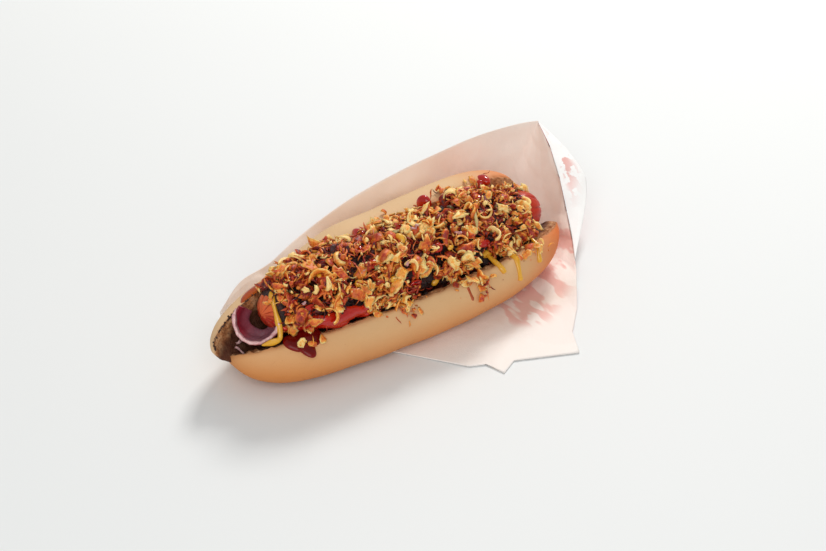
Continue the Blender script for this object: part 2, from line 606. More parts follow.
def sausage_look(name, settings):
    """Glossy skin: orange on top, red below and crimson towards the right end, with faint mottling."""
    look = Look(name, Specular_IOR_Level=0.22, Coat_Roughness=0.1)
    along, top = look.mark("along"), look.mark("top")
    mottle = look.noise(5.5, 4, 0.6)
    orange, red = tuple(settings.sausage_colour), paint(176, 44, 22)
    value = (top.rise(-0.5, 0.9) * (1.0 - along * 0.55) + (mottle - 0.5) * 0.9).clamped()
    colour = look.mix(value, red, orange)
    patch = look.noise(2.4, 3, 0.6).rise(0.56, 0.7) * (0.7 - along * 0.5)
    colour = look.mix(patch.clamped(), colour, paint(232, 134, 72))
    colour = look.mix(along.rise(0.45, 0.9) * 0.85, colour, paint(186, 40, 12))
    colour = look.mix(look.noise(1.1, 2).rise(0.62, 0.75) * 0.35, colour, paint(120, 24, 14))
    wrinkle = look.mark("crease")
    colour = look.mix((wrinkle * 0.75).clamped(), colour, paint(140, 24, 16))
    return look.finish(Base_Color=colour, Roughness=0.34 + mottle * 0.2, Coat_Weight=0.1,
                       Normal=look.bump(look.noise(1.6, 3) * 0.6 + mottle, 0.25))


def sauce_look(name, deep, thin, gloss, coat=0.3):
    """Sauce: deep where it is thick, lighter and more orange at its thin edge, wet."""
    look = Look(name, Specular_IOR_Level=0.12 + coat * 0.9, Coat_Weight=coat, Coat_Roughness=0.05)
    thick = look.mark("thick")
    grain = look.noise(1.4, 3)
    colour = look.mix((thick * 0.9 + (grain - 0.5) * 0.5).clamped(), thin, deep)
    return look.finish(Base_Color=colour, Roughness=gloss + grain * 0.14,
                       Normal=look.bump(look.noise(2.2, 2), 0.18))


def red_onion_look(name):
    """Red onion: purple skin outside, pale lilac cut faces with fine veins, glassy inside."""
    look = Look(name, Specular_IOR_Level=0.5, Coat_Weight=0.35, Coat_Roughness=0.15, Subsurface_Weight=0.25,
                Subsurface_Radius=(1.0, 0.5, 0.6), Subsurface_Scale=0.0015)
    skin, inside = look.mark("skin"), look.mark("inside")
    veins = look.noise(1.0, 3, 0.6, stretch=(1.0, 1.0, 0.35))
    flesh = look.ramp(veins, [(0.35, paint(206, 150, 152)), (0.6, paint(232, 192, 186))])
    colour = look.mix(inside.clamped(), flesh, paint(136, 84, 96))
    colour = look.mix((skin * (0.75 + veins * 0.5)).clamped(), colour, paint(140, 26, 44))
    return look.finish(Base_Color=colour, Roughness=0.22 + veins * 0.2,
                       Normal=look.bump(veins, 0.12))


def pickle_look(name):
    """Small bits of pickle and herb: dull yellow green to olive, wet."""
    look = Look(name, Specular_IOR_Level=0.5, Subsurface_Weight=0.15,
                Subsurface_Radius=(0.8, 1.0, 0.3), Subsurface_Scale=0.001)
    tone = look.mark("tone")
    colour = look.ramp((tone + (look.noise(1.2, 3) - 0.5) * 0.5).clamped(),
                       [(0.0, paint(54, 44, 20)), (0.5, paint(126, 106, 50)), (1.0, paint(206, 184, 122))])
    return look.finish(Base_Color=colour, Roughness=0.3 + tone * 0.1,
                       Normal=look.bump(look.noise(0.8, 2), 0.15))


def printed(look):
    """The bag's print: rounded fields broken by leaf shapes, in the sheet's own flat coordinates."""
    flat = look.node("UVMap", {"uv_map": "sheet"}, output=0)
    fields = look.node("TexNoise", None, {"Vector": flat, "Scale": 22.0, "Detail": 1.0, "Roughness": 0.4})
    leaves = look.node("TexVoronoi", {"feature": "SMOOTH_F1"},
                       {"Vector": look.node("Mapping", None, {"Vector": flat, "Rotation": (0.0, 0.0, 0.6),
                                                              "Scale": (60.0, 24.0, 1.0)}),
                        "Scale": 1.0, "Smoothness": 0.15}, "Distance")
    return fields.rise(0.47, 0.5) * leaves.rise(0.3, 0.34)


def paper_base(name):
    """A look for thin greaseproof paper, with its fibres and its grease stains."""
    look = Look(name, Specular_IOR_Level=0.25)
    return look, look.noise(0.8, 4, 0.7), look.mark("grease") * (0.1 + look.noise(6, 3) * 0.4)


def paper_finish(look, colour, fibre, stain):
    """The paper's stained colour and its soft creases."""
    colour = look.mix(stain.clamped(), colour, paint(206, 178, 150))
    height = fibre * 0.3 + look.noise(14, 3, 0.5, distortion=0.6) * 0.9
    return look.finish(Base_Color=colour, Roughness=0.55 + fibre * 0.15, Normal=look.bump(height, 0.5))


def paper_inside_look(name, settings):
    """The bag's inside: white, warmer where it stands behind the bun, with the print faint through it."""
    look, fibre, stain = paper_base(name)
    broad = look.noise(35, 2)
    back, right = look.mark("back"), look.mark("right")
    warmth = (back * (0.85 + (broad - 0.5) * 0.5)).clamped()
    colour = look.mix(warmth, tuple(settings.paper_colour), paint(254, 236, 222))
    strokes = look.noise(7.5, 2, 0.5, stretch=(1.0, 0.42, 1.0)).rise(0.45, 0.53)
    faint = printed(look) * (0.02 + right * 0.05) * (1 - back * 0.7)
    show = strokes * look.mark("show") * 0.42 + faint
    colour = look.mix(show.clamped(), colour, paint(224, 86, 62))
    return paper_finish(look, colour, fibre, stain)


def paper_outside_look(name):
    """The bag's outside: white paper with its red print."""
    look, fibre, stain = paper_base(name)
    colour = look.mix(printed(look), paint(240, 232, 226), paint(206, 52, 44))
    return paper_finish(look, colour, fibre, stain)


def flap_look(name):
    """The folded corner's bright side: white paper with one broken streak of the print."""
    look = Look(name, Specular_IOR_Level=0.25)
    fibre = look.noise(0.8, 4, 0.7)
    strokes = look.noise(4.5, 2, 0.5, stretch=(1.0, 1.0, 0.35)).rise(0.47, 0.53) * look.mark("streak")
    white = look.mix(fibre, paint(255, 252, 248), paint(255, 255, 253))
    colour = look.mix((strokes * 0.6).clamped(), white, paint(226, 104, 78))
    return look.finish(Base_Color=colour, Roughness=0.55 + fibre * 0.15,
                       Normal=look.bump(fibre * 0.3 + look.noise(14, 3) * 0.9, 0.4))


# Pieces


def half_bun(half, stations):
    """One half of the bun: rings of its section, which shrinks to the tip at both ends, bends sideways
    and lifts to the right, and per point the distance on the surface from the cut edge, crust positive."""
    section = closed_curve(half["section"], BUN_SPAN)
    left_section = closed_curve(half.get("left_section", half["section"]), BUN_SPAN)
    along = np.sin(np.linspace(-1, 1, stations) * np.pi / 2) * NEARLY_WHOLE
    power = np.where(along < 0, *half["bluntness"])
    shrink = (1 - np.abs(along) ** power) ** (1 / END_ROUNDING)
    shift = np.stack([np.where(along < 0, *half["bend"]) * along**2,
                      half["lift"] * np.maximum(along, 0) ** 2], axis=-1)
    left, right = half["ends"]
    x = (left + right) / 2 + (right - left) / 2 * along * END_REACH
    leftness = smooth_step(-along, 0, 0.55)[:, None, None]
    tip = np.array(half["tip"])
    shape = section[None] + (left_section - section)[None] * leftness
    flat = tip + shrink[:, None, None] * (shape - tip) + shift[:, None, :]
    steps = np.linalg.norm(np.roll(section, -1, axis=0) - section, axis=1)
    length = np.concatenate([[0], np.cumsum(steps)])[:-1]
    distance = (length - length[half["cut_edge"] * BUN_SPAN]) * half["crust_side"]
    total = steps.sum()
    distance = (distance + total / 2) % total - total / 2
    crust = CRUST_SHARE * total
    distance = np.where(distance < crust - total, distance + total, distance)
    rings = np.concatenate([np.broadcast_to(x[:, None, None], flat.shape[:2] + (1,)), flat], axis=-1)
    return rings, distance[None] * shrink[:, None], along, shrink


def ring_normals(rings):
    """Unit normals of a grid of closed rings, pointing away from each ring's middle."""
    around = np.roll(rings, -1, axis=1) - np.roll(rings, 1, axis=1)
    along = np.gradient(rings, axis=0)
    normals = np.cross(around, along)
    normals /= np.maximum(np.linalg.norm(normals, axis=-1, keepdims=True), 1e-9)
    out = rings - rings.mean(axis=1, keepdims=True)
    return normals * np.sign((normals * out).sum(axis=(1, 2), keepdims=True))


def bread_shell(shells, half, back, seed, stations=170):
    """Adds one half with its relief: broad dents in the crust, a ragged cut edge and a rough cut face."""
    rings, edge, along, shrink = half_bun(half, stations)
    normals = ring_normals(rings)
    calm = smooth_step(shrink, 0.1, 0.6)[:, None]
    cut = smooth_step(-edge, -0.3, 1.2)
    near = np.exp(-((edge / 1.3) ** 2))
    relief = waves(rings, 24, seed) * 0.12 * (1 - cut) + waves(rings, 2.6, seed + 1) * 0.22 * cut
    relief += waves(rings, 3.4, seed + 2) * 0.22 * near + waves(rings, 9, seed + 3) * 0.28 * cut
    rings = rings + normals * ((relief - 0.25) * calm)[..., None]
    rings[..., 2] = np.maximum(rings[..., 2], BUN_FLOOR)
    shells.add(rings, edge=edge, along=np.broadcast_to(along[:, None], edge.shape), back=back)


def make_bun(settings):
    """The bun's two halves, the front one with the hinge that joins them."""
    look = bread_look("bread", settings)
    front = Shells()
    bread_shell(front, FRONT_HALF, 0.0, 11)
    bread_shell(front, HINGE, 0.0, 31, stations=60)
    back = Shells()
    bread_shell(back, BACK_HALF, 1.0, 21)
    for piece in (front.build("bun_front_half", look), back.build("bun_back_half", look)):
        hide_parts("bun")


def make_char_crumbs():
    """Burnt beads along the cut edge at the left end of the back half."""
    rings, _, along, _ = half_bun(BACK_HALF, 900)
    chance = np.random.default_rng(61)
    line = rings[:, BACK_HALF["cut_edge"] * BUN_SPAN]
    weight = smooth_step(-along, 0.45, 0.9)
    chosen = chance.choice(len(line), CHAR_BEADS, p=weight / weight.sum())
    centre = line[chosen] + chance.normal(size=(CHAR_BEADS, 3)) * (0.25, 0.35, 0.3) + (0, -0.2, -0.1)
    beads = Shells().add(scattered_crumbs(chance, chance.uniform(0.2, 0.62, CHAR_BEADS), centre))
    look = Look("charred_edge")
    soot = look.noise(0.8, 3)
    colour = look.ramp(soot, [(0.35, paint(24, 14, 10)), (0.65, paint(82, 42, 22))])
    charred = look.finish(Base_Color=colour, Roughness=0.7 - soot * 0.2, Normal=look.bump(soot, 0.2))
    beads.build("charred_edge_beads", charred)


def make_sausage(settings):
    """The sausage: circles along its axis whose radius follows a quarter circle at the ends, with
    shallow dents, and pleats at the ends that run to a gathered tip."""
    length = np.linalg.norm(SAUSAGE_TO - SAUSAGE_FROM)
    axis = (SAUSAGE_TO - SAUSAGE_FROM) / length
    across = unit(np.cross(axis, (0, 0, 1.0)))
    upward = np.cross(across, axis)
    rise = np.linspace(0.01, 1, 26) * np.pi / 2
    station = np.concatenate([-SAUSAGE_RADIUS * np.cos(rise), np.linspace(0, length, 150)[1:-1],
                              length + SAUSAGE_RADIUS * np.cos(rise[::-1])])
    radius = SAUSAGE_RADIUS * np.concatenate([np.sin(rise), np.ones(148), np.sin(rise[::-1])])
    angle = np.linspace(0, 2 * np.pi, 96, endpoint=False)
    circle = np.cos(angle)[:, None] * across + np.sin(angle)[:, None] * upward
    middle = SAUSAGE_FROM + axis * station[:, None]
    rings = middle[:, None] + circle[None] * radius[:, None, None]
    endness = smooth_step(np.maximum(6 - station, station - length + 6), 0, 12)[:, None]
    tip = smooth_step(np.maximum(-station, station - length), 3, 10)[:, None]
    pleats = np.abs(np.sin(angle * 5.5 + 1.2 * np.sin(angle * 2) + station[:, None] * 0.12))
    crease = np.clip(1 - pleats * 3.2, 0, 1) * endness
    dents = waves(rings, 15, 5) * 0.14 + waves(rings, 5, 6) * 0.07
    sunk = 0.32 + np.maximum(-dents, -0.3) + crease * 0.65 + tip * 0.5 * np.clip(1 - pleats * 1.6, 0, 1)
    normals = ring_normals(rings)
    rings = rings - normals * (sunk * smooth_step(radius, 0.5, 4)[:, None])[..., None]
    along = np.broadcast_to(np.clip(station / length, 0, 1)[:, None], crease.shape)
    top = np.broadcast_to(np.sin(angle)[None], crease.shape)
    piece = Shells().add(rings, crease=crease, along=along, top=top).build(
        "sausage_skin", sausage_look("sausage_skin", settings))
    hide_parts("sausage")


def make_relish():
    """The dark relish that fills the groove: a section that narrows to both ends, with wet lumps."""
    section = closed_curve(BED_SECTION, 10)
    middle = section.mean(axis=0)
    along = np.linspace(-1, 1, 190)
    x = np.mean(BED_ENDS) + (BED_ENDS[1] - BED_ENDS[0]) / 2 * along
    shrink = (1 - np.abs(along * 0.999) ** 6) ** 0.5
    sideways = (sausage_axis(x) - sausage_axis(0.0))[:, 1:] * (1, 0.5)
    flat = middle + shrink[:, None, None] * (section - middle) + sideways[:, None]
    rings = np.concatenate([np.broadcast_to(x[:, None, None], flat.shape[:2] + (1,)), flat], axis=-1)
    relief = waves(rings, 3.2, 41) * 0.35 + waves(rings, 8, 42) * 0.4 - 0.9
    rings = rings + ring_normals(rings) * (relief * smooth_step(shrink, 0.1, 0.5)[:, None])[..., None]
    piece = Shells().add(rings).build("relish_filling", relish_look("relish"))
    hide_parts("relish_bed")


def heap_radius(x, direction):
    """The heap's radius round the sausage's axis, which draws in at both ends."""
    base = np.interp(direction, HEAP_DIRECTIONS, HEAP_RADII)
    along = (x - np.mean(HEAP_ENDS)) / (HEAP_ENDS[1] - HEAP_ENDS[0]) * 2
    shrink = np.sqrt(1 - np.clip(np.abs(along * 0.985), 0, 1) ** 5)
    return HEAP_END_RADIUS + (base - HEAP_END_RADIUS) * shrink


def chip_rings(chance, count, length, width):
    """Ragged chips: an oval outline with uneven lobes, bent to an arc along its length and cupped across,
    as a lens of a top ring, a rim and a bottom ring between two poles."""
    each = (count, 1, 1)
    theta = np.linspace(0, 2 * np.pi, 12, endpoint=False)
    outline = 1
    for times, amount in ((2, 0.1), (3, 0.16), (4, 0.14), (5, 0.12)):
        size = chance.normal(size=(count, 1)) * amount
        outline = outline + size * np.sin(times * theta + chance.uniform(0, FULL_TURN, (count, 1)))
    outline = np.clip(outline, 0.5, 1.5)
    share = np.array([0.0, 0.55, 1.0, 0.55, 0.0])[None, :, None]
    level = np.array([0.5, 0.46, 0.0, -0.46, -0.5])[None, :, None]
    length, width = length[:, None, None], width[:, None, None]
    x = length / 2 * share * (outline * np.cos(theta))[:, None]
    y = width / 2 * share * (outline * np.sin(theta))[:, None]
    thick = chance.uniform(0.7, 1.4, each)
    cup = chance.uniform(-0.09, 0.13, each) * y**2
    warp = 0.35 * np.sin(x * chance.uniform(0.6, 1.3, each) + y + chance.uniform(0, FULL_TURN, each))
    z = thick * level + cup + warp
    bend = length / chance.uniform(0.4, 2.6, each) * chance.choice([-1, 1], each, p=[0.65, 0.35])
    turn = x / bend
    across = np.broadcast_to(y, z.shape)
    shape = np.stack([(bend - z) * np.sin(turn), across, bend - (bend - z) * np.cos(turn)], axis=-1)
    return shape[:, 1:4], shape[:, [0, 4], 0]


def sliver_rings(chance, count, radius):
    """Curled slivers of onion ring: a flat oval section carried round an arc that climbs a little."""
    stations, around = 12, 6
    each, radius = (count, 1, 1), radius[:, None, None]
    t = np.linspace(0, 1, stations)[None, :, None]
    corner = np.linspace(0, 2 * np.pi, around, endpoint=False)[None, None, :]
    sweep = np.radians(chance.uniform(80, 250, each))
    turn = (t - 0.5) * sweep
    taper = np.clip(np.sin(np.pi * (0.06 + 0.88 * t)) ** 0.5, 0.3, 1)
    width = chance.uniform(1.5, 3.6, each) * taper * (1 + 0.25 * np.sin(turn * 3 + sweep * 7))
    wall = chance.uniform(0.4, 0.8, each) * taper
    out = radius * (1 + 0.12 * np.sin(turn * 2 + sweep * 5)) + wall * np.cos(corner)
    climb = chance.uniform(-0.6, 0.6, each) * radius * turn / 2
    tilted = out + chance.uniform(-0.5, 0.5, each) * np.sin(corner) * width
    return np.stack([tilted * np.cos(turn) - radius * 0.6, tilted * np.sin(turn),
                     width * 0.8 * np.sin(corner) + climb], axis=-1)


def shred_rings(chance, count, length, width):
    """Thin shreds: a flat section that tapers to both ends of a gently bent and twisted line."""
    stations, around = 7, 4
    each, length, width = (count, 1, 1), length[:, None, None], width[:, None, None]
    t = np.linspace(-1, 1, stations)[None, :, None]
    corner = np.linspace(0, 2 * np.pi, around, endpoint=False)[None, None, :] + 0.6
    wide = width / 2 * (1 - np.abs(t * 0.93) ** 2.5)
    deep = wide * chance.uniform(0.35, 0.8, each)
    twist = chance.uniform(-0.9, 0.9, each) * t + corner
    bow = chance.normal(size=each) * 0.16 * length * t**2
    wag = chance.normal(size=each) * 0.05 * length * np.sin(t * 4)
    x = length / 2 * t + 0 * twist
    return np.stack([x, wide * np.cos(twist) + wag, deep * np.sin(twist) + bow], axis=-1)


def crumb_rings(chance, size):
    """Crumbs: three uneven rings of five points."""
    count = len(size)
    rise = np.array([0.6, 0.0, -0.6])[None, :, None]
    start = chance.uniform(0, FULL_TURN, (count, 3, 1))
    corner = start + np.linspace(0, 2 * np.pi, 5, endpoint=False)
    radius = np.array([0.6, 1.0, 0.6])[None, :, None] * chance.uniform(0.6, 1.25, (count, 3, 5))
    stretch = chance.uniform(0.7, 1.7, (count, 1, 1))
    shape = np.stack([radius * np.cos(corner) * stretch, radius * np.sin(corner), rise + 0 * radius], axis=-1)
    return shape * size[:, None, None, None]


def scattered_crumbs(chance, size, centre):
    """Crumbs of these sizes at these places, each turned at random."""
    rings = crumb_rings(chance, size)
    facing = chance.normal(size=(len(size), 3))
    return stand(rings, centre, facing, chance.uniform(0, FULL_TURN, len(size)))


def stand_chips(rings, poles, centre, facing, spin):
    """Chips and their poles, turned and moved to their places."""
    return stand(rings, centre, facing, spin), stand(poles[:, :, None], centre, facing, spin)[:, :, 0]


def tree_of(*names):
    """Search trees of the named pieces, for finding the surface under a sauce or a crumb."""
    graph = bpy.context.evaluated_depsgraph_get()
    return [BVHTree.FromObject(bpy.data.objects[name], graph) for name in names]


def ground(trees, x, direction, reach=70.0):
    """Where a line that comes in towards the sausage's axis first meets one of the trees, and the normal."""
    centre, out = sausage_axis(np.atleast_1d(x)), outward(np.atleast_1d(direction))
    starts = (centre + out * reach) * MM + PLACE
    places, normals = [], []
    for start, way, back in zip(starts, out, centre):
        hits = [tree.ray_cast(Vector(start), -Vector(way)) for tree in trees]
        hits = [hit for hit in hits if hit[0] is not None]
        if hits:
            hit = min(hits, key=lambda found: found[3])
            places.append((np.array(hit[0]) - PLACE) / MM)
            normals.append(np.array(hit[1]))
        else:
            places.append(back + way * SAUSAGE_RADIUS)
            normals.append(way)
    return np.array(places), np.array(normals)


def in_patch(x, direction):
    """Whether a place on the heap lies where the relish shows."""
    inside = np.zeros(len(x), bool)
    for patch_x, patch_direction, size in BARE_PATCHES:
        side = np.radians(direction - patch_direction) * 23
        inside |= (x - patch_x) ** 2 + side**2 < size**2
    return inside


def heap_places(chance, count, depth, spread):
    """Random places in the heap: centre, outward vector and depth below the outline."""
    x = chance.uniform(HEAP_ENDS[0] + 1.5, HEAP_ENDS[1] - 2, count)
    direction = chance.uniform(20, 194, count)
    below = depth[0] + (depth[1] - depth[0]) * chance.uniform(0, 1, count) ** spread
    out = outward(direction)
    lump = waves(np.stack([x, direction * 0.38, np.zeros(count)], axis=-1), 15, 77) * 1.0
    radius = np.maximum(heap_radius(x, direction) + lump - below, SAUSAGE_RADIUS + 1)
    return x, direction, sausage_axis(x) + out * radius[:, None], out, below


def core_of_heap():
    """The heap's dark core: its outline less 6 mm with shreds in relief, and an inner side that runs
    over the sausage."""
    x = np.linspace(*HEAP_ENDS, 300)
    direction = np.linspace(HEAP_DIRECTIONS[0], HEAP_DIRECTIONS[-1], 110)
    radius = heap_radius(x[:, None], direction[None])
    out = outward(direction)
    rough = sausage_axis(x)[:, None] + out[None] * radius[..., None]
    relief = waves(rough, 4.5, 51) * 0.6 + np.abs(waves(rough, 2.4, 52)) * 0.7 + waves(rough, 11, 53) * 0.7
    radius = np.maximum(radius - 6.0 + relief, np.minimum(radius - 0.4, SAUSAGE_RADIUS + 0.5))
    outer = sausage_axis(x)[:, None] + out[None] * radius[..., None]
    inner_ways = np.array([(0, -0.26, -0.36), (0, 0.0, -0.2), (0, 0.2, 0.0)])
    inner = sausage_axis(x)[:, None] + radius.min(axis=1)[:, None, None] * inner_ways[None]
    return Shells().add(np.concatenate([outer, inner], axis=1)).build("onion_core", core_look("onion_core"))


def toned(chance, x, below, spread=0.2, lift=0.0):
    """Tones from 0 dark to 1 gold: darker deeper in the heap and towards its left end, and uneven."""
    tone = 0.86 - below * 0.12 + lift + chance.normal(size=len(below)) * spread
    tone -= smooth_step(-x, 20, 62) * 0.1
    return np.clip(tone, 0, 1)


def kept(chance, x, direction, below, placed):
    """Which pieces stay: all of the deep ones, most of those in clumps, and hardly any where the relish
    shows or above the heap's top."""
    clumps = waves(np.stack([x, direction * 0.4, 0 * x], axis=-1), 13, 88)
    chosen = chance.uniform(0, 1, len(x)) < 0.3 + 0.7 * smooth_step(clumps, -1.0, 0.3)
    bare = in_patch(x, direction) & (chance.uniform(0, 1, len(x)) < 0.95)
    return (placed[..., 2].reshape(len(x), -1).max(axis=1) < HEAP_TOP) & ~bare & (chosen | (below > 3.6))


def spilled(chance, trees, spill):
    """Random places round one of the SPILLS: the surface there and its normal."""
    middle, direction, spread_x, spread_direction, count = spill
    x = middle + chance.normal(size=count) * spread_x
    return ground(trees, x, direction + chance.normal(size=count) * spread_direction)


def heap_chips(chance, trees, count, look):
    """Chips in the heap, and chips that hang over the bun's edge or lie on it."""
    x, direction, centre, out, below = heap_places(chance, count, (0.0, 6.0), 0.9)
    finer = 1 - 0.34 * smooth_step(x, *FINER_FROM_TO)
    length = chance.uniform(4.2, 11.5, count) * np.where(chance.uniform(0, 1, count) < 0.5, 0.7, 1.0) * finer
    width = np.minimum(length * chance.uniform(0.38, 0.8, count), 6.5)
    facing = unit(out + chance.normal(size=(count, 3)) * 0.6)
    rings, poles = chip_rings(chance, count, length, width)
    tone = toned(chance, x, below)
    rings, poles = stand_chips(rings, poles, centre, facing, chance.uniform(0, FULL_TURN, count))
    keep = kept(chance, x, direction, below, rings)
    chips = Shells().add(rings[keep], poles[keep], tone=tone[keep][:, None, None], rim=CHIP_RIM)
    for spill in SPILLS:
        count = spill[-1]
        spot, normal = spilled(chance, trees, spill)
        length = chance.uniform(3.6, 8.2, count)
        facing = unit(normal + chance.normal(size=(count, 3)) * 0.5)
        rings, poles = chip_rings(chance, count, length, length * chance.uniform(0.4, 0.75, count))
        spin = chance.uniform(0, FULL_TURN, count)
        centre = spot + normal * chance.uniform(0.6, 3.0, count)[:, None]
        tone = np.clip(0.74 + chance.normal(size=count) * 0.18, 0, 1)
        chips.add(*stand_chips(rings, poles, centre, facing, spin), tone=tone[:, None, None], rim=CHIP_RIM)
    return chips.build("onion_chips", look)


def heap_slivers(chance, count, look):
    """Curled slivers of onion ring in the heap, brighter along their edges."""
    x, direction, centre, out, below = heap_places(chance, count, (0.0, 3.5), 1.0)
    finer = 1 - 0.3 * smooth_step(x, *FINER_FROM_TO)
    rings = sliver_rings(chance, count, chance.uniform(2.2, 4.8, count) * finer)
    facing = unit(out * 0.5 + chance.normal(size=(count, 3)) * 0.7)
    tone = toned(chance, x, below, lift=0.05)
    rim = np.abs(np.sin(np.linspace(0, 2 * np.pi, rings.shape[2], endpoint=False)))
    placed = stand(rings, centre, facing, chance.uniform(0, FULL_TURN, count))
    keep = kept(chance, x, direction, below, placed)
    return Shells().add(placed[keep], tone=tone[keep][:, None, None], rim=rim).build("onion_slivers", look)


def heap_shreds(chance, trees, count, look):
    """Shreds in the heap and among the spilled chips."""
    x, direction, centre, out, below = heap_places(chance, count, (0.0, 5.0), 1.0)
    finer = smooth_step(x, 15, 70)
    length = chance.uniform(2.5, 8.5, count) * (1 - 0.35 * finer)
    rings = shred_rings(chance, count, length, chance.uniform(0.5, 1.6, count) * (1 - 0.25 * finer))
    facing = unit(out + chance.normal(size=(count, 3)) * 0.7)
    tone = toned(chance, x, below, spread=0.24, lift=-0.12)
    placed = stand(rings, centre, facing, chance.uniform(0, FULL_TURN, count))
    keep = kept(chance, x, direction, below, placed)
    shreds = Shells().add(placed[keep], tone=tone[keep][:, None, None], rim=INNER_RIM)
    for spill in SPILLS:
        count = spill[-1]
        spot, normal = spilled(chance, trees, spill)
        rings = shred_rings(chance, count, chance.uniform(2.5, 7.0, count), chance.uniform(0.4, 1.1, count))
        facing = unit(normal * 0.6 + chance.normal(size=(count, 3)) * 0.7)
        centre = spot + normal * chance.uniform(0.5, 2.2, count)[:, None]
        tone = np.clip(0.6 + chance.normal(size=count) * 0.2, 0, 1)
        placed = stand(rings, centre, facing, chance.uniform(0, FULL_TURN, count))
        shreds.add(placed, tone=tone[:, None, None], rim=INNER_RIM)
    return shreds.build("onion_shreds", look)


def heap_crumbs(chance, trees, count, look):
    """Crumbs in the heap, and a few fallen on the bun."""
    x, direction, centre, _, below = heap_places(chance, count, (0.0, 4.0), 1.0)
    size = chance.uniform(0.35, 1.2, count)
    tone = toned(chance, x, below, spread=0.25, lift=-0.05)
    placed = scattered_crumbs(chance, size, centre)
    keep = kept(chance, x, direction, below, placed)
    crumbs = Shells().add(placed[keep], tone=tone[keep][:, None, None], rim=INNER_RIM)
    x = chance.uniform(-66, 78, FALLEN_CRUMBS)
    front = chance.uniform(0, 1, FALLEN_CRUMBS) < 0.8
    direction = np.where(front, 188 + np.abs(chance.normal(size=FALLEN_CRUMBS)) * 4,
                         38 - np.abs(chance.normal(size=FALLEN_CRUMBS)) * 2)
    spot, normal = ground(trees, x, direction)
    size = chance.uniform(0.2, 0.6, FALLEN_CRUMBS)
    placed = scattered_crumbs(chance, size, spot + normal * 0.2)
    tone = np.clip(chance.normal(0.6, 0.15, FALLEN_CRUMBS), 0, 1)
    crumbs.add(placed, tone=tone[:, None, None], rim=INNER_RIM)
    return crumbs.build("onion_crumbs", look)


def make_heap(settings):
    """Fried onions: a dark core, and over it chips, curled slivers, shreds and crumbs, each a closed
    shell at its own angle."""
    pieces = [core_of_heap()]
    trees = tree_of(*SURFACES)
    chance = np.random.default_rng(101)
    look = onion_look("fried_onion", settings)
    pieces.append(heap_chips(chance, trees, settings.chips, look))
    pieces.append(heap_slivers(chance, settings.slivers, look))
    pieces.append(heap_shreds(chance, trees, settings.shreds, look))
    pieces.append(heap_crumbs(chance, trees, settings.crumbs, look))
    for piece in pieces:
        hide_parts("fried_onions")


def blob(centre, half, facing, chance, flat, around=28, stations=18):
    """A drop of sauce and its thickness: an ellipsoid with uneven sides, its base sunk by flat."""
    rise = np.linspace(0.03, 0.97, stations)[:, None] * np.pi
    turn = np.linspace(0, 2 * np.pi, around, endpoint=False)[None]
    lobes = ((2, 0.10, chance.uniform(0, 6)), (3, 0.06, chance.uniform(0, 6)))
    side = 1 + sum(amount * np.sin(turn * times + phase) for times, amount, phase in lobes)
    x = half[0] * np.sin(rise) * np.cos(turn) * side
    y = half[1] * np.sin(rise) * np.sin(turn) * side
    z = half[2] * (np.cos(rise) + 0 * turn)
    z = np.where(z < 0, z * flat, z)
    thick = np.clip(z / half[2] * 0.8 + 0.35, 0, 1)
    centre, facing = np.array([centre], float), np.array([facing], float)
    spin = np.array([chance.uniform(0, 0.4)])
    return stand(np.stack([x, y, z], axis=-1)[None], centre, facing, spin), thick


def ribbon(base, normal, width, height, around=12):
    """A bead of sauce along a line on a surface and its thickness: a low arch, its width and height
    given at each point."""
    forward = unit(np.gradient(base, axis=0))
    side = unit(np.cross(normal, forward))
    up = np.cross(forward, side)
    corner = np.linspace(0, 2 * np.pi, around, endpoint=False)
    arch = np.where(np.sin(corner) > 0, 1.0, 0.45) * np.sin(corner)
    rings = (base[:, None] + side[:, None] * (np.cos(corner) * width[:, None] / 2)[..., None]
             + up[:, None] * (arch * height[:, None])[..., None])
    thick = np.clip(0.3 + arch * 0.9, 0, 1)[None] * np.ones((len(base), 1))
    return rings, thick


def evened(line, times):
    """The line with each inner point moved towards its neighbours, several times."""
    for _ in range(times):
        line[1:-1] = (line[:-2] + 2 * line[1:-1] + line[2:]) / 4
    return line


def smeared(trees, knots, count=40, sink=0.1):
    """A ribbon laid on the surface: knots are x, direction, width and height."""
    knots = open_curve(knots, count)
    base, normal = ground(trees, knots[:, 0], knots[:, 1])
    base = evened(base, 4)
    for _ in range(4):
        normal[1:-1] = normal[:-2] + 2 * normal[1:-1] + normal[2:]
    normal = unit(normal)
    t = np.linspace(0, 1, count)
    taper = np.clip(np.minimum(t, 1 - t) * 9, 0, 1) ** 0.5 * 0.97 + 0.03
    return ribbon(base - normal * sink, normal, knots[:, 2] * taper, knots[:, 3] * taper)


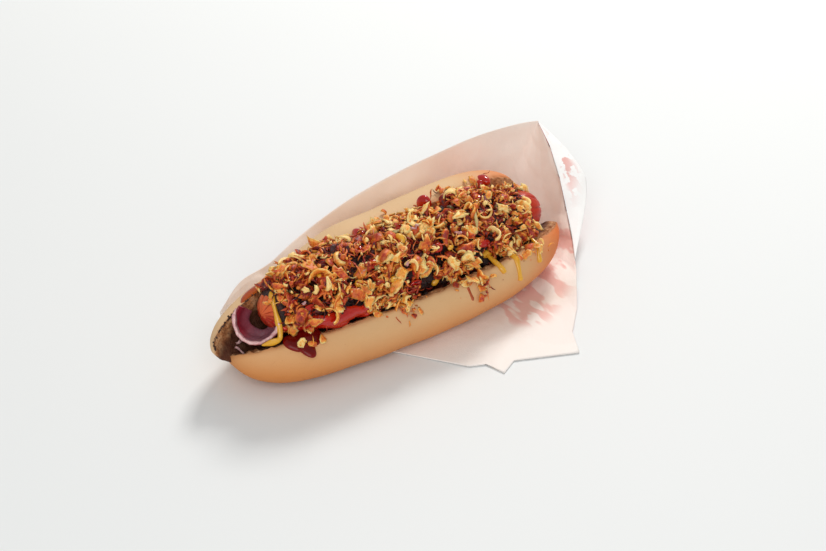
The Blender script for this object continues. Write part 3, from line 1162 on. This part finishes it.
def make_ketchup(settings):
    """Ketchup: three glossy dabs and a pool, and smears along the bun's edges and among the onions."""
    look = sauce_look("ketchup", tuple(settings.ketchup_colour), paint(216, 52, 20), 0.1)
    dark = sauce_look("ketchup_with_relish", paint(92, 6, 3), paint(140, 18, 8), 0.2, 0.08)
    chance = np.random.default_rng(303)
    for node, (centre, half) in KETCHUP_DABS.items():
        shells = Shells()
        for shift, share, facing in DAB_BLOBS[node]:
            rings, thick = blob(np.array(centre) + shift, np.array(half) * share, facing, chance, 0.9)
            shells.add(rings, thick=thick)
        piece = shells.build(node + "_sauce", dark if node == "ketchup_pool" else look)
        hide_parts(node)
    trees = tree_of(*SURFACES)
    smears = Shells()
    for knots in KETCHUP_SMEARS:
        rings, thick = smeared(trees, knots)
        smears.add(rings, thick=thick)
    _, _, centre, out, _ = heap_places(chance, KETCHUP_SPOTS, (2.2, 4.6), 1.0)
    keep = centre[:, 2] < HEAP_TOP - 3
    for spot, facing, size in zip(centre[keep], out[keep], chance.uniform(1.6, 3.6, KETCHUP_SPOTS)):
        rings, thick = blob(spot, size * np.array([1, 0.7, 0.34]), facing, chance, 0.9, 14, 9)
        smears.add(rings, thick=thick)
    smears.build("ketchup_smears", look)
    thin = Shells()
    for knots in BROWN_SAUCE:
        rings, thick = smeared(trees, knots)
        thin.add(rings, thick=thick)
    look = sauce_look("thin_sauce", paint(160, 62, 18), paint(204, 108, 44), 0.16)
    thin.build("brown_sauce", look)


def make_mustard(settings):
    """Mustard: a stripe down the sausage's left end and over the onion, blobs, and drips on the bun."""
    look = sauce_look("mustard", tuple(settings.mustard_colour), paint(206, 140, 32), 0.22)
    chance = np.random.default_rng(404)
    trees = tree_of(*SURFACES)
    mustard = Shells()
    stripe = open_curve(MUSTARD_STRIPE, 60)
    lie = unit(stripe - MUSTARD_INSIDE)
    t = np.linspace(0, 1, len(stripe))
    swell = 1 + 0.25 * np.sin(t * 17) + 0.35 * smooth_step(t, 0.45, 0.8)
    taper = np.clip(np.minimum(t, 1 - t) * 8, 0, 1) ** 0.5 * 0.95 + 0.05
    rings, thick = ribbon(stripe, lie, 2.5 * swell * taper, 1.0 * taper)
    mustard.add(rings, thick=thick)
    for knots in MUSTARD_DRIPS:
        rings, thick = smeared(trees, knots, 30)
        mustard.add(rings, thick=thick)
    for x, direction, size, height in MUSTARD_BLOBS:
        spot, _ = ground(trees, x, direction)
        out = outward(direction)
        rings, thick = blob(spot[0] + out * (height - 0.6), size * np.array([1, 0.72, 0.62]),
                            out + (0.2, 0, 0.1), chance, 0.7, 20, 12)
        mustard.add(rings, thick=thick)
    mustard.build("mustard", look)


def onion_axes():
    """The red onion slice's axis, its level direction and its upward one."""
    axis = unit(ONION_AXIS)
    level = unit(np.cross((0, 0, 1.0), axis))
    return axis, level, np.cross(axis, level)


def onion_arc(radius, wall, width, start, end, stations=90):
    """A rounded section, wall by width, carried round an arc from start to end in degrees, a little wavy
    and thinner at its ends; with it where it is skin and where it is the inner side."""
    axis, level, upward = onion_axes()
    corner = np.linspace(0, 2 * np.pi, 20, endpoint=False)
    thick = np.sign(np.cos(corner)) * np.abs(np.cos(corner)) ** 0.7 * wall / 2
    wide = np.sign(np.sin(corner)) * np.abs(np.sin(corner)) ** 0.7 * width / 2
    angle = np.radians(np.linspace(start, end, stations))
    step = np.arange(stations)
    taper = np.clip(np.minimum(step, stations - 1 - step) / 7, 0.15, 1)[:, None] ** 0.5
    out = np.cos(angle)[:, None] * level + np.sin(angle)[:, None] * upward
    wavy = 0.25 * np.sin(angle * 3 + 1)[:, None]
    reach = radius + wavy + thick[None] * taper - wide[None] / width * wall * 0.2
    rings = ONION_CENTRE + reach[..., None] * out[:, None] + (wide[None] * taper)[..., None] * axis
    rings = rings + 0.08 * waves(rings, 3.0, 71)[..., None] * out[:, None]
    return rings, smooth_step(np.cos(corner), 0.35, 0.9), smooth_step(-np.cos(corner), 0.3, 0.9) * 0.7


def onion_inner_wall():
    """The layer's inner wall, which narrows as it runs back into the bun from the slice's lower left: a
    thin double surface by angle and depth, with ripples."""
    axis, level, upward = onion_axes()
    angle = np.radians(np.linspace(-214, -18, 80))
    way = np.linspace(0, 1, 18)
    radius = ONION_RADIUS - 1.0 - 4.6 * way**1.4
    depth = 1.2 - 9.5 * way
    radius = np.concatenate([radius, radius[::-1] + 0.6])
    depth = np.concatenate([depth, depth[::-1] - 0.3])
    out = np.cos(angle)[:, None] * level + np.sin(angle)[:, None] * upward
    ripple = 0.25 * np.sin(angle * 4)[:, None] + 0.2 * np.sin(depth * 1.1)[None]
    wall = ONION_CENTRE + (radius[None] + ripple)[..., None] * out[:, None] + depth[None, :, None] * axis
    red = smooth_step(-np.cos(angle), 0.1, 0.8)[:, None] * (0.4 + 0.6 * smooth_step(depth, -8, 0))[None]
    return Shells().add(wall, skin=red * 0.95, inside=1.0)


def make_red_onion():
    """A slice of red onion, the inner wall of its layer, and small pink bits that fell from it."""
    look = red_onion_look("red_onion")
    rings, skin, inside = onion_arc(ONION_RADIUS - 0.15, ONION_WALL * 0.85, ONION_WIDTH * 0.82, *ONION_ARC)
    piece = Shells().add(rings, skin=skin, inside=inside).build("red_onion_ring", look)
    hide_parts("red_onion_slice")
    onion_inner_wall().build("red_onion_inner_wall", look)

    chance = np.random.default_rng(505)
    count = len(RED_ONION_BITS)
    rings, poles = chip_rings(chance, count, chance.uniform(2.4, 4.4, count), chance.uniform(1.2, 2.4, count))
    facing = chance.normal(size=(count, 3)) + (-0.4, -0.6, 0.8)
    spin = chance.uniform(0, FULL_TURN, count)
    bits = Shells().add(*stand_chips(rings, poles, RED_ONION_BITS, facing, spin), skin=0.15, inside=0.1)
    bits.build("red_onion_bits", look)


def make_pickle_bits():
    """Chopped pickle and herb among the onions: small bent chips and one long pale strip."""
    chance = np.random.default_rng(606)
    trees = tree_of("onion_core")
    x, direction, size, tone = (np.array(column) for column in zip(*PICKLE_BITS))
    base, _ = ground(trees, x, direction)
    out = outward(direction)
    rings, poles = chip_rings(chance, len(x), size * 1.9, size * 1.2)
    facing = out + chance.normal(size=(len(x), 3)) * 0.4
    spin = chance.uniform(0, FULL_TURN, len(x))
    bits = Shells().add(*stand_chips(rings, poles, base + out * 3.4, facing, spin), tone=tone[:, None, None])

    direction = np.linspace(96, 140, 24)
    base, _ = ground(trees, np.linspace(46.5, 39.5, 24), direction)
    base = evened(base + outward(direction) * 4.0, 8)
    t = np.linspace(0, 1, 24)
    taper = np.clip(np.minimum(t, 1 - t) * 7, 0.1, 1) ** 0.5
    strip, _ = ribbon(base, outward(direction), 1.7 * taper, 0.7 * taper, 10)
    bits.add(strip, tone=0.9)
    bits.build("pickle_bits", pickle_look("pickle"))


def paper_grid(count, steps):
    """The sheet's middle surface: for each x a line from its front edge over the floor, up behind the
    bun to its upper edge, resampled evenly and then relaxed so that its bends are round."""
    front, seam, top = (np.array(p, float) for p in (PAPER_FRONT, PAPER_SEAM, PAPER_TOP))
    corners = np.concatenate([front[:, 0], seam[1:, 0]])
    x = np.unique(np.concatenate([np.linspace(front[0, 0], seam[-1, 0], count), corners]))
    start_y = np.interp(x, corners, np.concatenate([front[:, 1], seam[1:, 1]]))
    start_z = np.interp(x, seam[:, 0], seam[:, 2])
    top = open_curve(top, 300)
    end_y, end_z = np.interp(x, top[:, 0], top[:, 1]), np.interp(x, top[:, 0], top[:, 2])
    even = np.linspace(0, 1, steps)
    rows = []
    for y0, z0, y1, z1 in zip(start_y, start_z, end_y, end_z):
        lap = min(1.0, (y1 - y0) / 45.0)
        belly = max(0.0, z0 - 9.0 * lap)
        bend = [(y1 - 27 * lap, belly), (y1 - 17 * lap, belly + 0.6 * lap), (y1 - 9 * lap, belly + 5.0 * lap),
                (y1 - 5.5 * lap, belly + 12.0 * lap), (y1 - 3.2 * lap, belly + 20.0 * lap)]
        bend = [(y, z) for y, z in bend if z < z1 - 2]
        flat = np.array([(y0, z0)] + (bend or [(y1 - 1.0, z0)]) + [(y1, z1)])
        length = np.concatenate([[0], np.cumsum(np.linalg.norm(np.diff(flat, axis=0), axis=1))])
        rows.append(np.stack([np.interp(even * length[-1], length, flat[:, 0]),
                              np.interp(even * length[-1], length, flat[:, 1])], axis=-1))
    flat = np.array(rows)
    for _ in range(14):
        flat[:, 1:-1] = (flat[:, :-2] + 2 * flat[:, 1:-1] + flat[:, 2:]) / 4
    for _ in range(6):
        inner = (flat[:-2, 1:-1] + 2 * flat[1:-1, 1:-1] + flat[2:, 1:-1]) / 4
        flat[1:-1, 1:-1] = inner
    grid = np.concatenate([np.broadcast_to(x[:, None, None], flat.shape[:2] + (1,)), flat], axis=-1)
    grid[..., 2] += PAPER_THICKNESS / 2
    return x, grid


def fold(points, start, end, depth, reach):
    """A sharp crease along a line seen from above: deepest on the line, gone at reach from it."""
    start, end = np.array(start, float), np.array(end, float)
    way = end - start
    t = np.clip(((points[..., :2] - start) @ way) / (way @ way), 0, 1)
    away = np.linalg.norm(points[..., :2] - start - t[..., None] * way, axis=-1)
    ends = np.sin(np.pi * np.clip(t * 0.9 + 0.05, 0, 1)) ** 0.5
    return depth * np.clip(1 - away / reach, 0, 1) ** 1.3 * ends


def sheet_relief(grid):
    """The sheet with its soft waves, stronger where it stands, and its sharp creases, calm at its edges."""
    rows, steps = grid.shape[:2]
    low = np.linspace(0, 1, steps)
    row = np.arange(rows)
    calm = np.clip(np.minimum(low, 1 - low) * 14, 0, 1)[None]
    calm = calm * np.clip(np.minimum(row, rows - 1 - row) / 12, 0, 1)[:, None]
    normal = np.cross(np.gradient(grid, axis=0), np.gradient(grid, axis=1))
    normal = normal / np.maximum(np.linalg.norm(normal, axis=-1, keepdims=True), 1e-9)
    standing = smooth_step(grid[..., 2], 2, 12)
    soft = waves(grid * (1, 1, 0.6), 34, 81) * (0.25 + 0.75 * standing)
    soft = soft + waves(grid, 13, 82) * 0.16 * standing
    creases = sum(fold(grid, *crease) for crease in PAPER_CREASES)
    grid = grid + normal * (soft * calm)[..., None]
    grid[..., 2] = np.maximum(grid[..., 2] + creases * calm, PAPER_THICKNESS / 2 + 0.02)
    return grid


def flap_grid(x, seam):
    """The folded corner: straight lines from the seam to its outer edge, bowed and waved a little."""
    edge = np.array(FLAP_EDGE, float)
    edge[:, 2] += PAPER_THICKNESS / 2
    t = (x - x[0]) / (x[-1] - x[0]) * (len(edge) - 1)
    rim = open_curve(edge, 200)
    rim = np.stack([np.interp(t, np.linspace(0, len(edge) - 1, 200), rim[:, a]) for a in range(3)], axis=-1)
    spread = np.linspace(0, 1, 19)[1:]
    flap = seam[None] + (rim - seam)[None] * spread[:, None, None]
    bow = np.sin(spread * np.pi)[:, None] * np.sin(np.linspace(0, np.pi, len(seam)))[None]
    flap[..., 2] += 0.7 * bow + 0.35 * waves(flap, 16, 83) * bow
    return flap, spread


def grid_quads(index):
    """The quads of a grid of vertex numbers."""
    quads = np.stack([index[:-1, :-1], index[1:, :-1], index[1:, 1:], index[:-1, 1:]], axis=-1)
    return quads.reshape(-1, 4)


def make_paper(settings):
    """The opened bag: a thin sheet that lies under the bun and stands up behind it, with creases, and
    its corner folded out along the seam at the right. It carries flat coordinates for its print, x by
    the distance along the sheet from its upper edge."""
    x, grid = paper_grid(190, 110)
    grid = sheet_relief(grid)
    rows, steps = grid.shape[:2]
    index = np.arange(rows * steps).reshape(rows, steps)
    reach = np.cumsum(np.linalg.norm(np.diff(grid, axis=1), axis=-1), axis=1)
    down = np.concatenate([np.zeros((rows, 1)), reach], axis=1) - reach[:, -1:]
    flat = np.stack([np.broadcast_to(x[:, None], down.shape), down], axis=-1).reshape(-1, 2)

    first = int(np.searchsorted(x, FLAP_EDGE[0][0]))
    flap, spread = flap_grid(x[first:], grid[first:, 0])
    across = flap.shape[1]
    flap_index = rows * steps + np.arange(flap.shape[0] * across).reshape(-1, across)
    order = np.vstack([index[first:, 0][None], flap_index])
    flap_down = down[first:, 0][None] - spread[:, None] * 30
    flap_flat = np.stack([np.broadcast_to(x[first:], flap_down.shape), flap_down], axis=-1)
    flat = np.vstack([flat, flap_flat.reshape(-1, 2)])
    points = np.vstack([grid.reshape(-1, 3), flap.reshape(-1, 3)])
    sheet_quads = grid_quads(index)
    quads = np.vstack([sheet_quads, grid_quads(order)[:, ::-1]])

    on_sheet = np.arange(len(points)) < rows * steps
    line = np.array(SHOW_LINE, float)
    way = line[1] - line[0]
    nearest = line[0] + np.clip((points - line[0]) @ way / (way @ way), 0, 1)[:, None] * way
    t = np.linspace(0, 1, across)[None]
    streak = np.exp(-(((t - 0.62 - 0.1 * spread[:, None]) / 0.2) ** 2))
    streak = streak * (smooth_step(spread, 0.15, 0.4) * smooth_step(-spread, -0.95, -0.7))[:, None]
    greasy = np.exp(-(((points[:, 0] - 60) / 40) ** 2 + ((points[:, 1] + 33) / 9) ** 2))
    marks = {
        "back": smooth_step(points[:, 2], 0.3, 9) * on_sheet,
        "right": smooth_step(points[:, 0], 40, 92),
        "grease": greasy * (points[:, 2] < 4),
        "streak": np.concatenate([np.zeros(rows * steps), streak.reshape(-1)]),
        "show": smooth_step(-np.linalg.norm(points - nearest, axis=1), -17, -9),
    }
    inside = paper_inside_look("paper_inside", settings)
    looks = [inside, paper_outside_look("paper_outside"), inside, flap_look("paper_flap")]
    piece = make_object("paper_bag_sheet", points, quads, np.zeros((0, 3), int), looks, marks,
                        PAPER_THICKNESS * 0.55)
    which = np.where(np.arange(len(quads)) < len(sheet_quads), 0, 2).astype(np.int32)
    piece.data.polygons.foreach_set("material_index", which)
    uv = piece.data.uv_layers.new(name="sheet")
    corners = np.empty(len(piece.data.loops), np.int32)
    piece.data.loops.foreach_get("vertex_index", corners)
    uv.data.foreach_set("uv", (flat[corners] * MM).astype(np.float32).ravel())
    wall = piece.modifiers.new("thickness", "SOLIDIFY")
    wall.thickness = PAPER_THICKNESS * MM
    wall.offset = 0
    wall.material_offset = 1
    wall.material_offset_rim = 0
    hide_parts("paper_bag")


# Stage


def area_light(name, place, size, power, colour):
    """A square soft box at place, turned to face the food."""
    light = bpy.data.lights.new(name, "AREA")
    light.shape = "RECTANGLE"
    light.size = light.size_y = size
    light.energy = power
    light.color = colour
    made = bpy.data.objects.new(name, light)
    made.location = place
    made.rotation_euler = (Vector((0.0, 0.0, 0.02)) - Vector(place)).to_track_quat("-Z", "Y").to_euler()
    bpy.context.scene.collection.objects.link(made)


def make_stage(settings):
    """A pale floor, soft studio light from the back right, and the camera."""
    look = Look("stage_floor", Specular_IOR_Level=0.2)
    haze = look.noise(300, 2)
    colour = look.mix(haze, paint(231, 233, 232), paint(235, 236, 235))
    side, depth = 3.0, -0.0004
    mesh = bpy.data.meshes.new("stage_floor")
    mesh.from_pydata([(-side, -side, depth), (side, -side, depth), (side, side, depth), (-side, side, depth)],
                     [], [(0, 1, 2, 3)])
    mesh.materials.append(look.finish(Base_Color=colour, Roughness=0.6))
    floor = bpy.data.objects.new("stage_floor", mesh)
    bpy.context.scene.collection.objects.link(floor)

    world = bpy.data.worlds.new("studio")
    bpy.context.scene.world = world
    world.use_nodes = True
    background = world.node_tree.nodes["Background"]
    background.inputs[0].default_value = (1.0, 1.0, 1.0, 1.0)
    background.inputs[1].default_value = settings.ambient
    area_light("key", (0.78, 0.62, 0.95), 0.36, settings.key_power, (1.0, 0.985, 0.96))
    area_light("fill", (-0.7, -0.9, 0.8), 0.9, settings.fill_power, (0.97, 0.985, 1.0))

    view = bpy.context.scene.view_settings
    view.view_transform = "Standard"
    view.look = "None"

    turn, down = math.radians(CAMERA_TURN), math.radians(CAMERA_TILT)
    right = Vector((math.cos(turn), -math.sin(turn), 0))
    forward = Vector((math.sin(turn) * math.cos(down), math.cos(turn) * math.cos(down), -math.sin(down)))
    up = right.cross(forward)
    place = Matrix((right, up, -forward)).transposed().to_4x4()
    place.translation = Vector(CAMERA_PLACE) + Vector(PLACE)
    lens = bpy.data.cameras.new("camera")
    lens.lens = CAMERA_LENS
    camera = bpy.data.objects.new("camera", lens)
    camera.matrix_world = place
    bpy.context.scene.collection.objects.link(camera)
    bpy.context.scene.camera = camera


# Add-on


def colour_property(name, description, default):
    """A colour that a user may change."""
    return bpy.props.FloatVectorProperty(name=name, description=description, default=default, size=3, min=0.0,
                                         max=1.0, subtype="COLOR")


def count_property(name, description, default, most):
    """A number of pieces that a user may change."""
    return bpy.props.IntProperty(name=name, description=description, default=default, min=1, max=most)


class HotDogSettings(bpy.types.PropertyGroup):
    """Amounts, colours and light that a user may change before building."""

    chips: count_property("Onion chips", "Flat ragged chips of fried onion in the heap", 1500, 2400)
    slivers: count_property("Onion slivers", "Curled slivers of onion ring", 190, 1200)
    shreds: count_property("Onion shreds", "Thin shreds of fried onion", 1700, 3500)
    crumbs: count_property("Onion crumbs", "Crumbs of fried onion", 1500, 6000)
    crust_colour: colour_property("Crust", "The bun's crust on top", paint(216, 170, 118))
    crust_low_colour: colour_property("Crust below", "The bun's crust near its base", paint(212, 136, 72))
    onion_colour: colour_property("Fried onion", "The golden flakes", paint(248, 172, 66))
    sausage_colour: colour_property("Sausage", "The sausage's skin on top", paint(220, 104, 56))
    ketchup_colour: colour_property("Ketchup", "Ketchup where it is thick", paint(170, 16, 8))
    mustard_colour: colour_property("Mustard", "Mustard where it is thick", paint(228, 168, 44))
    paper_colour: colour_property("Paper", "The bag's paper on its inside", paint(248, 240, 233))
    ambient: bpy.props.FloatProperty(name="Ambient light", description="Strength of the light from all sides",
                                     default=0.46, min=0.0, max=5.0)
    key_power: bpy.props.FloatProperty(name="Key light", description="Power of the light at the back right",
                                       default=11.6, min=0.0, max=500.0, unit="POWER")
    fill_power: bpy.props.FloatProperty(name="Fill light", description="Power of the light at the front",
                                        default=7.5, min=0.0, max=500.0, unit="POWER")


class HOTDOG_OT_stage(bpy.types.Operator):
    """Add the floor, the lights and the camera"""

    bl_idname = "hotdog.stage"
    bl_label = "Stage"

    def execute(self, context):
        make_stage(context.scene.hot_dog)
        return {"FINISHED"}


class HOTDOG_OT_bun(bpy.types.Operator):
    """Add the two halves of the bun"""

    bl_idname = "hotdog.bun"
    bl_label = "Bun"

    def execute(self, context):
        make_bun(context.scene.hot_dog)
        return {"FINISHED"}


class HOTDOG_OT_char(bpy.types.Operator):
    """Add the burnt beads on the bun's cut edge"""

    bl_idname = "hotdog.char"
    bl_label = "Burnt edge"

    def execute(self, context):
        make_char_crumbs()
        return {"FINISHED"}


class HOTDOG_OT_sausage(bpy.types.Operator):
    """Add the sausage"""

    bl_idname = "hotdog.sausage"
    bl_label = "Sausage"

    def execute(self, context):
        make_sausage(context.scene.hot_dog)
        return {"FINISHED"}


class HOTDOG_OT_relish(bpy.types.Operator):
    """Add the relish in the groove"""

    bl_idname = "hotdog.relish"
    bl_label = "Relish"

    def execute(self, context):
        make_relish()
        return {"FINISHED"}


class HOTDOG_OT_fried_onions(bpy.types.Operator):
    """Add the heap of fried onions"""

    bl_idname = "hotdog.fried_onions"
    bl_label = "Fried onions"

    def execute(self, context):
        make_heap(context.scene.hot_dog)
        return {"FINISHED"}


class HOTDOG_OT_ketchup(bpy.types.Operator):
    """Add the ketchup and the thin brown sauce"""

    bl_idname = "hotdog.ketchup"
    bl_label = "Ketchup"

    def execute(self, context):
        make_ketchup(context.scene.hot_dog)
        return {"FINISHED"}


class HOTDOG_OT_mustard(bpy.types.Operator):
    """Add the mustard"""

    bl_idname = "hotdog.mustard"
    bl_label = "Mustard"

    def execute(self, context):
        make_mustard(context.scene.hot_dog)
        return {"FINISHED"}


class HOTDOG_OT_red_onion(bpy.types.Operator):
    """Add the slice of red onion and its bits"""

    bl_idname = "hotdog.red_onion"
    bl_label = "Red onion"

    def execute(self, context):
        make_red_onion()
        return {"FINISHED"}


class HOTDOG_OT_pickle(bpy.types.Operator):
    """Add the bits of pickle"""

    bl_idname = "hotdog.pickle"
    bl_label = "Pickle bits"

    def execute(self, context):
        make_pickle_bits()
        return {"FINISHED"}


class HOTDOG_OT_paper(bpy.types.Operator):
    """Add the opened paper bag"""

    bl_idname = "hotdog.paper"
    bl_label = "Paper bag"

    def execute(self, context):
        make_paper(context.scene.hot_dog)
        return {"FINISHED"}


OPERATORS = (HOTDOG_OT_stage, HOTDOG_OT_bun, HOTDOG_OT_char, HOTDOG_OT_sausage, HOTDOG_OT_relish,
             HOTDOG_OT_fried_onions, HOTDOG_OT_ketchup, HOTDOG_OT_mustard, HOTDOG_OT_red_onion,
             HOTDOG_OT_pickle, HOTDOG_OT_paper)


class HOTDOG_PT_panel(bpy.types.Panel):
    """Lists the hot dog's settings and its pieces"""

    bl_label = "Hot dog"
    bl_idname = "HOTDOG_PT_panel"
    bl_space_type = "VIEW_3D"
    bl_region_type = "UI"
    bl_category = "Hot dog"

    def draw(self, context):
        """Shows every setting and then every operator."""
        settings = context.scene.hot_dog
        for name in HotDogSettings.__annotations__:
            self.layout.prop(settings, name)
        for operator in OPERATORS:
            self.layout.operator(operator.bl_idname)


CLASSES = (HotDogSettings, *OPERATORS, HOTDOG_PT_panel)


def register():
    """Adds the classes and the scene's settings."""
    for item in CLASSES:
        bpy.utils.register_class(item)
    bpy.types.Scene.hot_dog = bpy.props.PointerProperty(type=HotDogSettings)


def unregister():
    """Takes them away again."""
    del bpy.types.Scene.hot_dog
    for item in reversed(CLASSES):
        bpy.utils.unregister_class(item)


def main():
    """Builds every piece in order."""
    register()
    for operator in OPERATORS:
        group, name = operator.bl_idname.split(".")
        getattr(getattr(bpy.ops, group), name)()


if __name__ == "__main__":
    main()
